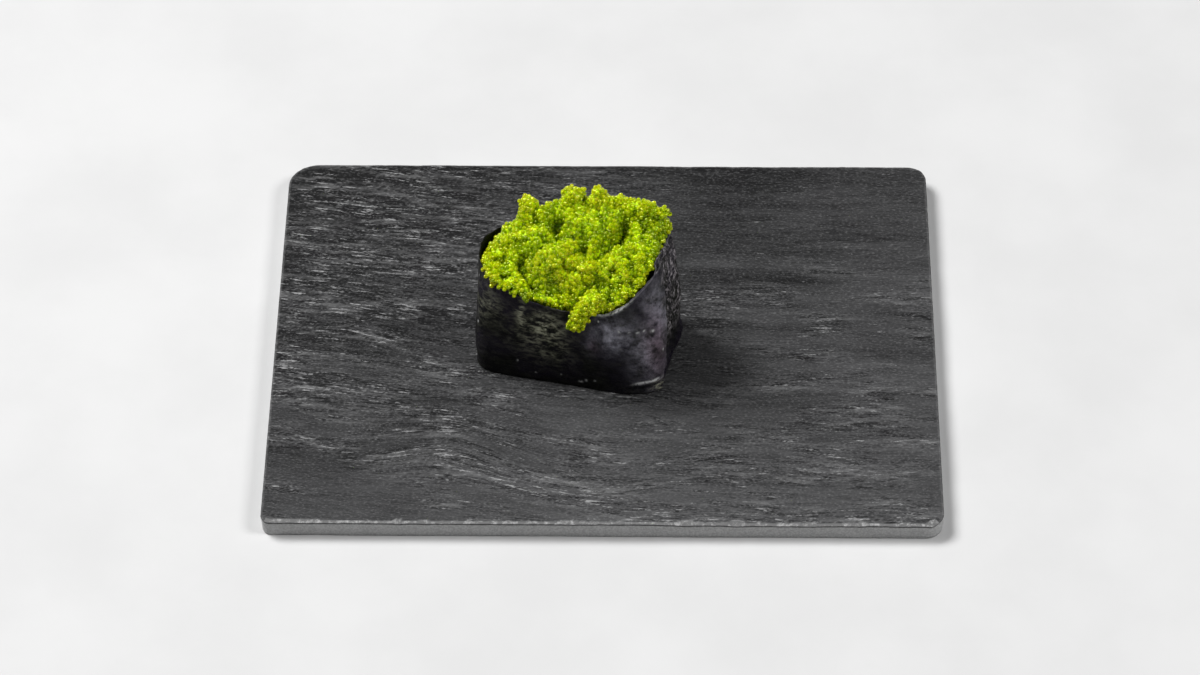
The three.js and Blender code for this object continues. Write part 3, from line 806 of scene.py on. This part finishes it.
def wall_point(angle, share, out=0):
    """The sheet's outer face, moved outwards: the share is 0 at the board and 1 at the rim."""
    lean = share ** LEAN_POWER
    reach = oval_reach(FOOT, angle) * (1 - lean) + oval_reach(RIM, angle) * lean
    reach = reach + WALL_BULGE * np.sin(math.pi * share) + out
    return placed(angle, reach, lean, rim_height(angle) * share + REST_GAP * ease(share, 0, 0.2))


def degrees_from(angle, centre):
    """Degrees from a direction, from -180 to 180."""
    return (np.degrees(angle) - centre + 180) % 360 - 180


def lap_end(share):
    """Direction of the lap's edge, from the foot up to the rim."""
    return LAP_END_FOOT + (LAP_END_RIM - LAP_END_FOOT) * share ** LAP_END_POWER


def turned_from(angle, spot):
    """Distance from a spot's direction, in its own half angles."""
    return degrees_from(angle, spot["direction"]) / spot["half_angle"]


def creases(angle, share):
    """How far the sheet stands out: in folds and puckers, and less at its crinkled right end."""
    around = angle * SHEET_LENGTH
    up = share * SHEET_RISE
    end = falloff((turned_from(angle, CRINKLED_END), 4))
    folds = FOLD_HEIGHT * ridges(form("folds", around, up, FOLD_SLANT))
    crinkle = CRINKLE_HEIGHT * ridges(form("crinkle", around, up, CRINKLE_SLANT)) * end
    drawn_in = DRAWN_IN * end * ease(share, 0, 0.15) * (1 - share ** 2)
    out = form("swell", around, up) + folds + form("puckers", around, up) + crinkle - drawn_in - SET_BACK
    return out * ease(share, 0, 0.06)


def fold_crest(fold, angle):
    """Height of a fold's crest over the board, in each direction."""
    around = degrees_from(angle, fold["direction"])
    return fold["height"] + fold["slope"] * around - fold["droop"] * around ** 2


def single_folds(angle, share):
    """The damp fold along the foot of the front right corner, and the wrinkle above it."""
    height = share * rim_height(angle)
    total = 0
    for fold in FOLDS.values():
        up = (height - fold_crest(fold, angle)) / fold["half_height"]
        total = total + fold["out"] * falloff((turned_from(angle, fold), 4), (up, 2))
    return total


def recess(angle, share):
    """How far the sheet's inner turn lies back beside the edge of its outer end."""
    past = degrees_from(angle, 0) - lap_end(share)
    return LAP_RECESS * ease(past, *LAP_RECESS_START) * (1 - ease(past, *LAP_RECESS_FINISH))


def wetness(angle, share):
    """How glossy the sheet is: most along its foot and at the front right corner."""
    corner = falloff((turned_from(angle, WET_CORNER), 2))
    foot = np.exp(-share * WET_FOOT["fade"])
    return np.clip(WET_CORNER["share"] * corner + WET_FOOT["share"] * foot, 0, 1)


def patch_share(angle, share, patches):
    """How much a place of the sheet lies in the strongest of some patches, from 0 to 1."""
    height = share * rim_height(angle)
    shares = []
    for centre, middle, half_angle, half_height, strength in patches:
        across = degrees_from(angle, centre) / half_angle
        shares.append(strength * falloff((across, 2), ((height - middle) / half_height, 2)))
    return np.max(shares, axis=0)


def glint_share(angle, share):
    """Painted glints of the sheet: single ones, a painted highlight along the damp fold and one along
    the rim.
    """
    marks = patch_share(angle, share, [(*mark, 1) for mark in GLINTS])
    up = share * rim_height(angle) - fold_crest(FOLDS["lip"], angle) - FOLD_GLINT["over_crest"]
    fold = falloff((turned_from(angle, FOLD_GLINT), 4), (up / FOLD_GLINT["half_height"], 2))
    rim = falloff(((1 - share) / RIM_GLINT["depth"], 2), (turned_from(angle, RIM_GLINT), 4))
    return np.clip(marks + FOLD_GLINT["share"] * fold + RIM_GLINT["share"] * rim, 0, 1)


def add_sheet_values(piece, angle, share):
    """Shares of the outer face's patches of painted sheen, of its painted highlights and glints and of
    its wetness, for the sheet's material.
    """
    shares = {name: patch_share(angle, share, patches) for name, patches in PATCHES.items()}
    shares["crinkle_highlit"] = falloff((turned_from(angle, CRINKLE_HIGHLIGHTS), 4)) * ease(share, *CRINKLE_HIGHLIGHTS["from"])
    shares["glint"] = glint_share(angle, share)
    shares["wet"] = wetness(angle, share)
    for name, values in shares.items():
        add_values(piece, name, values.ravel())


def inside_wall(angle, down, rim, rim_out):
    """The sheet's inner face, from just under the rim to where the roe hides it."""
    reach = oval_reach(RIM, angle) + rim_out - SHEET_THICKNESS
    return placed(angle, reach, 1, rim[:, 2] - INSIDE_START - INSIDE_DEPTH * down)


def build_wrap(material):
    """The wrapped sheet: its foot, its outer wall, its rim and its inner face."""
    angle = np.linspace(0, 2 * math.pi, WALL_COLUMNS, endpoint=False)[None, :]
    share = (np.linspace(0, 1, WALL_ROWS) ** WALL_ROW_POWER)[:, None]
    down = np.linspace(0, 1, INSIDE_ROWS)[:, None]
    out = creases(angle, share) + single_folds(angle, share) - recess(angle, share)
    out = out - FOOT_INSET * (share == 0)
    outer = wall_point(angle, share, out)
    outer[..., 2] += form("rim_rags", angle, angle * 0) * share ** 3
    inside = inside_wall(angle[0], down, outer[-1], out[-1])
    crest = outer[-1] * 0.5 + inside[0] * 0.5
    crest[:, 2] = outer[-1, :, 2] + RIM_CREST
    foot = outer[0] * np.array([FOOT_TUCK, FOOT_TUCK, 0])
    points = to_board(np.concatenate([foot[None], outer, crest[None], inside])).reshape(-1, 3)
    numbers = list(range(len(points)))
    ends = [numbers[:WALL_COLUMNS][::-1], numbers[-WALL_COLUMNS:]]
    faces = grid_faces(len(points) // WALL_COLUMNS, WALL_COLUMNS, closed=True).tolist() + ends
    piece = add_piece("seaweed_wrap", points, faces, material, "seaweed_roll")
    add_sheet_values(piece, angle, np.concatenate([[[0]], share, [[1]], 1 + down]))


def lap_end_faces():
    """Faces that close the thin layer along its foot and along its rim."""
    width = 2 * LAP_COLUMNS
    rim = (WALL_ROWS - 1) * width
    faces = []
    for j in range(LAP_COLUMNS - 1):
        faces.append([j, width - 1 - j, width - 2 - j, j + 1])
        faces.append([rim + j, rim + j + 1, rim + width - 2 - j, rim + width - 1 - j])
    return faces


def lap_lift(across):
    """How far the lap lies over the sheet under it, from its hidden start to its edge."""
    body = LAP_LIFT["body"] * ease(across, 0, LAP_LIFT["body_share"])
    return LAP_LIFT["start"] + body + LAP_LIFT["edge"] * across ** 6


def build_lap(material):
    """The sheet's outer end, a thin layer over the rest that stops at a ragged edge."""
    share = np.linspace(0, 1, WALL_ROWS)[:, None]
    across = np.linspace(0, 1, LAP_COLUMNS)[None, :]
    end = lap_end(share) + form("lap_rags", share, share * 0)
    angle = np.radians(LAP_START + (end - LAP_START) * across)
    out = creases(angle, share) * (1 - LAP_CALM * across) + single_folds(angle, share) + lap_lift(across)
    thickness = SHEET_THICKNESS * np.where(across < 1, 1, LAP_EDGE_THICKNESS)
    outer = wall_point(angle, share, out)
    inner = wall_point(angle, share, out - thickness)
    loop = np.concatenate([outer, inner[:, ::-1]], axis=1)
    both = np.concatenate([angle, angle[:, ::-1]], axis=1)
    loop[-1, :, 2] += form("lap_rim", both[-1], both[-1] * 0)
    points = to_board(loop).reshape(-1, 3)
    faces = grid_faces(WALL_ROWS, 2 * LAP_COLUMNS, closed=True).tolist() + lap_end_faces()
    piece = add_piece("seaweed_lap", points, faces, material, "seaweed_roll")
    add_sheet_values(piece, both, share)


def sheet_colour(tree, place, along):
    """Near black, with pale green fibres lit as a painted sheen, a purple-grey painted sheen, painted
    highlights on the crinkled end and small painted glints.
    """
    dark = blend(tree, texture(tree, "tint", place), SHEET_DARK, SHEET_PURPLE_DARK)
    # Pale fibres where the patches lie: a painted sheen.
    fibre_sheen_share = times(tree, texture(tree, "strands", along),
                   plus(tree, mesh_value(tree, "fibre_sheen"), FIBRE_SHEEN_LEAST))
    fibre_sheen = blend(tree, fibre_sheen_share, dark, SHEET_FIBRE_SHEEN)
    # A painted sheen, grey and mauve, where its patches lie.
    cloud = times(tree, texture(tree, "cloud", place), mesh_value(tree, "painted_sheen"))
    sheen_colour = blend(tree, mesh_value(tree, "mauve_sheen"), SHEET_SHEEN, SHEET_MAUVE_SHEEN)
    painted_sheen = blend(tree, cloud, fibre_sheen, sheen_colour)
    # Painted highlights flecking the crinkled end.
    crinkle_highlights = times(tree, texture(tree, "crinkle_highlights", object_place(tree, HIGHLIGHT_STRETCH, HIGHLIGHT_LEAN)),
                   mesh_value(tree, "crinkle_highlit"))
    crinkle_highlit = blend(tree, crinkle_highlights, painted_sheen, SHEET_CRINKLE_HIGHLIGHT)
    # Small painted glints.
    glint = times(tree, mesh_value(tree, "glint"), texture(tree, "glints", place))
    return blend(tree, glint, crinkle_highlit, SHEET_GLINT)


def seaweed_material():
    """Moist roasted seaweed, smoother where it is wet."""
    material, tree, shader = new_material("moist_seaweed")
    place = object_place(tree)
    along = object_place(tree, FIBRE_STRETCH)
    smoother = times(tree, mesh_value(tree, "wet"), WET_ROUGHNESS)
    roughness = plus(tree, texture(tree, "blotches", place), smoother)
    colour = sheet_colour(tree, place, along)
    set_shader(shader, {"Base Color": colour, "Roughness": roughness, **SHEET_SHADER})
    relief = plus(tree, noise(tree, "strand_relief", along), noise(tree, "sheet_relief", place))
    add_bump(tree, shader, relief, SHEET_RELIEF)
    return material


# Roe


def mesh_arrays(mesh):
    """Points in millimetres, triangles and point normals of a mesh."""
    mesh.calc_loop_triangles()
    points = np.array([v.co[:] for v in mesh.vertices]) / MM
    triangles = np.array([t.vertices[:] for t in mesh.loop_triangles])
    return points, triangles, np.array([v.normal[:] for v in mesh.vertices])


def roe_core():
    """The heap's own form in a fine even mesh, drawn in so that eggs fill out its outline."""
    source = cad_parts["roe_heap"]
    work = add_object("core_form", source.data.copy())
    remesh = work.modifiers.new("even", "REMESH")
    remesh.mode = "VOXEL"
    remesh.voxel_size = CORE_VOXEL * MM
    soften = work.modifiers.new("soften", "SMOOTH")
    soften.iterations = CORE_SOFTENING
    graph = bpy.context.evaluated_depsgraph_get()
    mesh = bpy.data.meshes.new_from_object(work.evaluated_get(graph))
    bpy.data.objects.remove(work)
    points, triangles, normals = mesh_arrays(mesh)
    bpy.data.meshes.remove(mesh)
    return points - normals * CORE_INSET, triangles, normals


def crosses(corners):
    """The normal of each triangle, as long as twice its area."""
    return np.cross(corners[:, 1] - corners[:, 0], corners[:, 2] - corners[:, 0])


def point_normals(points, triangles):
    across = crosses(points[triangles])
    total = np.zeros_like(points)
    for k in range(3):
        np.add.at(total, triangles[:, k], across)
    return total / np.maximum(np.linalg.norm(total, axis=1), 1e-12)[:, None]


def distances_to(points, places):
    """How far each point is from the nearest of some places."""
    tree = KDTree(len(places))
    for i, place in enumerate(places):
        tree.insert(place, i)
    tree.balance()
    return np.array([tree.find(p)[2] for p in points])


def clustered(points, triangles, normals, random):
    """The core with a mound for each cluster of eggs, and a crease between neighbours."""
    centres, _ = scattered((points, triangles, normals, np.zeros(len(points))), random, CLUSTER_SPACING)
    away = distances_to(points, centres) / CLUSTER_RADIUS
    mound = CLUSTER_RISE * np.sqrt(np.clip(1 - away ** 2, 0, None)) - CLUSTER_SINK
    raised = points + normals * mound[:, None]
    return raised, point_normals(raised, triangles)


def bulge(points, triangles, normals):
    """How far each point stands out from the mesh smoothed over a lump or so."""
    sides = [triangles[:, (0, 1)], triangles[:, (1, 2)], triangles[:, (2, 0)]]
    starts, ends = np.concatenate(sides).T
    counts = np.maximum(1, np.bincount(starts, minlength=len(points)))[:, None]
    even = points
    for _ in range(EVENING_STEPS):
        sums = [np.bincount(starts, even[ends, axis], len(points)) for axis in range(3)]
        even = np.column_stack(sums) / counts
    return ((points - even) * normals).sum(1)


def in_sight(points, outward):
    """Whether a place of the heap shows, rather than lying against the inside of the roll."""
    x, y = turned(points[:, 0] - ROLL_PLACE[0], points[:, 1] - ROLL_PLACE[1], math.radians(-ROLL_TURN))
    x = x - RIM_SHIFT
    angle = np.arctan2(y, x)
    inside = np.hypot(x, y) < oval_reach(RIM, angle) + RIM_MARGIN["across"]
    below = points[:, 2] < rim_height(angle) + board_height - RIM_MARGIN["down"]
    return ~(inside & below) | (outward[:, 2] > UPWARD)


def random_places(core, random, lift):
    """Places drawn evenly over the core and lifted off it, how they face and how far they bulge."""
    points, triangles, normals, bulges = core
    corners = points[triangles]
    areas = np.linalg.norm(crosses(corners), axis=1)
    pick = random.choice(len(triangles), CANDIDATES, p=areas / areas.sum())
    u = random.random((CANDIDATES, 2))
    flip = u.sum(1) > 1
    u[flip] = 1 - u[flip]
    shares = np.column_stack([1 - u.sum(1), u])
    outward = (normals[triangles[pick]] * shares[..., None]).sum(1)
    outward /= np.linalg.norm(outward, axis=1)[:, None]
    places = (corners[pick] * shares[..., None]).sum(1) + outward * lift
    return places, outward, (bulges[triangles[pick]] * shares).sum(1)


def scattered(core, random, spacing, lift=0, taken=()):
    """Places on the core and how far they bulge, with the spacing between them and from those taken."""
    places, outward, bulges = random_places(core, random, lift)
    shown = np.flatnonzero(in_sight(places, outward) & (outward[:, 2] > DOWNWARD))
    cells = {}
    for place in taken:
        cells.setdefault(tuple((place // spacing).astype(int)), []).append(place)
    kept = []
    for number in shown:
        place = places[number]
        cell = tuple((place // spacing).astype(int))
        near = []
        for i, j, k in CELL_STEPS:
            near += cells.get((cell[0] + i, cell[1] + j, cell[2] + k), ())
        if near and ((np.array(near) - place) ** 2).sum(1).min() < spacing ** 2:
            continue
        cells.setdefault(cell, []).append(place)
        kept.append(number)
    return places[kept], bulges[kept]


def icosahedron():
    """The twelve corners of an icosahedron, and its triangles with their corners turned outwards."""
    golden = (1 + math.sqrt(5)) / 2
    corners = np.array([(-1, golden, 0), (1, golden, 0), (-1, -golden, 0), (1, -golden, 0),
                        (0, -1, golden), (0, 1, golden), (0, -1, -golden), (0, 1, -golden),
                        (golden, 0, -1), (golden, 0, 1), (-golden, 0, -1), (-golden, 0, 1)])
    near = np.abs(np.linalg.norm(corners[:, None] - corners[None], axis=2) - 2) < 1e-6
    triangles = []
    for a, b, c in itertools.combinations(range(len(corners)), 3):
        if near[a, b] and near[b, c] and near[a, c]:
            facing = np.dot(np.cross(corners[b] - corners[a], corners[c] - corners[a]), corners[a])
            triangles.append(corners[[a, b, c] if facing > 0 else [a, c, b]])
    return triangles


def geodesic_ball(detail):
    """A unit ball of even triangles: each side of an icosahedron cut into detail parts."""
    points = []
    faces = []
    numbers = {}

    def number_of(place):
        key = tuple(np.round(place, 6))
        if key not in numbers:
            numbers[key] = len(points)
            points.append(place / np.linalg.norm(place))
        return numbers[key]

    for first, second, third in icosahedron():
        rows = [[number_of(first + (second - first) * i / detail + (third - second) * j / detail)
                 for j in range(i + 1)] for i in range(detail + 1)]
        for i in range(detail):
            for j in range(i + 1):
                faces.append((rows[i][j], rows[i + 1][j], rows[i + 1][j + 1]))
                if j < i:
                    faces.append((rows[i][j], rows[i + 1][j + 1], rows[i][j + 1]))
    return np.array(points), np.array(faces)


def build_eggs(name, places, sizes, tints_and_shade, material, random):
    """One mesh of all the eggs of a kind, each a little out of round and turned its own way."""
    ball, ball_faces = geodesic_ball(EGG_DETAIL)
    count = len(places)
    squash = 1 + random.uniform(-EGG_SQUASH, EGG_SQUASH, (count, 1, 3))
    angles = random.uniform(0, 6.28, count)
    axes = random.uniform(-1, 1, (count, 3))
    turns = [Matrix.Rotation(angle, 3, Vector(axis)) for angle, axis in zip(angles, axes)]
    shapes = np.einsum("nij,nkj->nki", np.array(turns), ball[None] * squash)
    points = shapes * sizes[:, None, None] + places[:, None]
    faces = ball_faces[None] + (np.arange(count) * len(ball))[:, None, None]
    piece = add_piece(name, points.reshape(-1, 3), faces.reshape(-1, 3), material, "roe_heap")
    # Each egg is lighter on its lower side: a painted glow of light through the egg.
    low = 0.5 - 0.5 * shapes[..., 2] / np.linalg.norm(shapes, axis=2)
    tint_glow_and_shade = TINT_SPREAD * tints_and_shade[:, None] + PAINTED_GLOW * (low - PAINTED_GLOW_START)
    add_values(piece, "tint", np.clip(tint_glow_and_shade, 0, 1).ravel())


def egg_material(name, deep, bright):
    """Wet translucent egg: colour blends between a deep and a bright tone, by a random tint from egg to
    egg, a painted glow on each egg's lower side and painted shade in hollows.
    """
    material, tree, shader = new_material(name)
    colour = blend(tree, mesh_value(tree, "tint"), deep, bright)
    set_shader(shader, {"Base Color": colour, **EGG_SHADER})
    return material


def core_material():
    """Roe seen down between the top eggs, still wet: painted shade in hollows, lighter where raised, and
    a painted highlight on each dome's crown.
    """
    material, tree, shader = new_material("roe_core")
    place = object_place(tree)
    hollow_shade = blend(tree, texture(tree, "core_tone", place), CORE_SHADE_DARK, CORE_SHADE_LIGHT)
    packed = blend(tree, mesh_value(tree, "raised"), hollow_shade, CORE_PACKED_LIT)
    colour = blend(tree, mesh_value(tree, "crown_highlight"), packed, CORE_CROWN_HIGHLIGHT)
    set_shader(shader, {"Base Color": colour, **CORE_SHADER})
    add_bump(tree, shader, noise(tree, "core_relief", place), CORE_RELIEF)
    return material


def build_core(core, random):
    """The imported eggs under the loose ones, as a dome for each on the core."""
    points, triangles, normals, bulges = core
    places, _ = scattered(core, random, RELIEF_SPACING)
    away = distances_to(points, places)
    dome = np.sqrt(np.clip(RELIEF_RADIUS ** 2 - away ** 2, 0, None))
    relief = points + normals * (dome * RELIEF_HEIGHT)[:, None]
    piece = add_piece("roe_core", relief, triangles, core_material(), "roe_heap")
    # Hollows are painted in shade, raised places lighter, and each dome's crown gets a painted
    # highlight.
    raised = ease(bulges, *PACKED_BULGE)
    add_values(piece, "raised", raised)
    add_values(piece, "crown_highlight", dome / RELIEF_RADIUS * raised)


def egg_places(core, random):
    """A layer of eggs on the core and loose ones on its lumps: places, and how far they bulge."""
    first, first_bulges = scattered(core, random, EGG_SPACING, EGG_LIFT)
    loose, loose_bulges = scattered(core, random, LOOSE_SPACING, LOOSE_LIFT, first)
    kept = loose_bulges + random.normal(0, LOOSE_SPREAD, len(loose)) > LOOSE_BULGE
    return np.concatenate([first, loose[kept]]), np.concatenate([first_bulges, loose_bulges[kept]])


def build_roe():
    """Packed eggs as relief on the core, and single ones over it, in kinds by warmth, which is random
    with painted light on bulges and painted shade in hollows.
    """
    random = np.random.default_rng(ROE_SEED)
    points, triangles, normals = roe_core()
    points, normals = clustered(points, triangles, normals, random)
    core = (points, triangles, normals, bulge(points, triangles, normals))
    build_core(core, random)
    places, bulges = egg_places(core, random)
    sizes = random.uniform(EGG_LEAST, EGG_MOST, len(places))
    # Warmth is random, and rises on bulges and falls in hollows as painted light and shade.
    warm_and_lit = form("warmth", places[:, 0], places[:, 1]) + LIT_BULGE_WARMTH * np.clip(bulges, -1, 1)
    warm_and_lit = warm_and_lit + random.normal(0, WARM_SPREAD, len(places))
    coolest = -math.inf
    for name, (warmest, deep, bright) in EGG_KINDS.items():
        chosen = (warm_and_lit >= coolest) & (warm_and_lit < warmest)
        coolest = warmest
        # Tints are random from egg to egg, and darker in hollows as painted shade.
        tints_and_shade = random.random(chosen.sum()) - SUNK_SHADE * ease(-bulges[chosen], *SUNK_BULGE)
        material = egg_material(name, deep, bright)
        build_eggs(name, places[chosen], sizes[chosen], tints_and_shade, material, random)


# Stage


def build_floor():
    half = FLOOR_SIZE / 2 * MM
    corners = [(-half, -half, 0), (half, -half, 0), (half, half, 0), (-half, half, 0)]
    mesh = bpy.data.meshes.new("floor")
    mesh.from_pydata(corners, [], [(0, 1, 2, 3)])
    material, tree, shader = new_material("floor")
    colour = blend(tree, texture(tree, "mottle", object_place(tree)), FLOOR_DARK, FLOOR_LIGHT)
    set_shader(shader, {"Base Color": colour, **FLOOR_SHADER})
    mesh.materials.append(material)
    add_object("floor", mesh)


def build_lights():
    world = bpy.data.worlds.new("studio")
    world.use_nodes = True
    background = world.node_tree.nodes["Background"]
    set_shader(background, {"Color": (1, 1, 1, 1), "Strength": AMBIENT})
    bpy.context.scene.world = world
    for name, (place, size, power) in SOFTBOXES.items():
        light = bpy.data.lights.new(name, "AREA")
        light.shape = "SQUARE"
        light.size = size * MM
        light.energy = power
        lamp = add_object(name, light)
        lamp.location = Vector(place) * MM
        toward = Vector(AIM) * MM - lamp.location
        lamp.rotation_euler = toward.to_track_quat("-Z", "Y").to_euler()


def build_camera():
    yaw, pitch, roll = (math.radians(a) for a in (CAMERA_YAW, CAMERA_PITCH, CAMERA_ROLL))
    camera = add_object("camera", bpy.data.cameras.new("camera"))
    camera.data.lens = CAMERA_LENS
    camera.data.sensor_width = SENSOR_WIDTH
    heading = Matrix.Rotation(-yaw, 4, "Z") @ Matrix.Rotation(math.pi / 2 - pitch, 4, "X")
    place = Matrix.Translation(Vector(CAMERA_PLACE) * MM)
    camera.matrix_world = place @ heading @ Matrix.Rotation(roll, 4, "Z")
    bpy.context.scene.camera = camera


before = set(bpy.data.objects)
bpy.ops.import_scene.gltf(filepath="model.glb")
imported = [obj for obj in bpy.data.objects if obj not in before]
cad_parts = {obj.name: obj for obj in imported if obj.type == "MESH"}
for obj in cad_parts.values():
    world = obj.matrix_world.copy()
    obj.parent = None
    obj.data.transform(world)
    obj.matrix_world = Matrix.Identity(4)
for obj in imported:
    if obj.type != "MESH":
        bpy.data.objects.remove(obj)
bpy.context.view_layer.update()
board_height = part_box("slate_board")[1].z / MM
bpy.context.scene.view_settings.view_transform = "Standard"
build_camera()
build_board()
sheet = seaweed_material()
build_wrap(sheet)
build_lap(sheet)
build_roe()
build_floor()
build_lights()
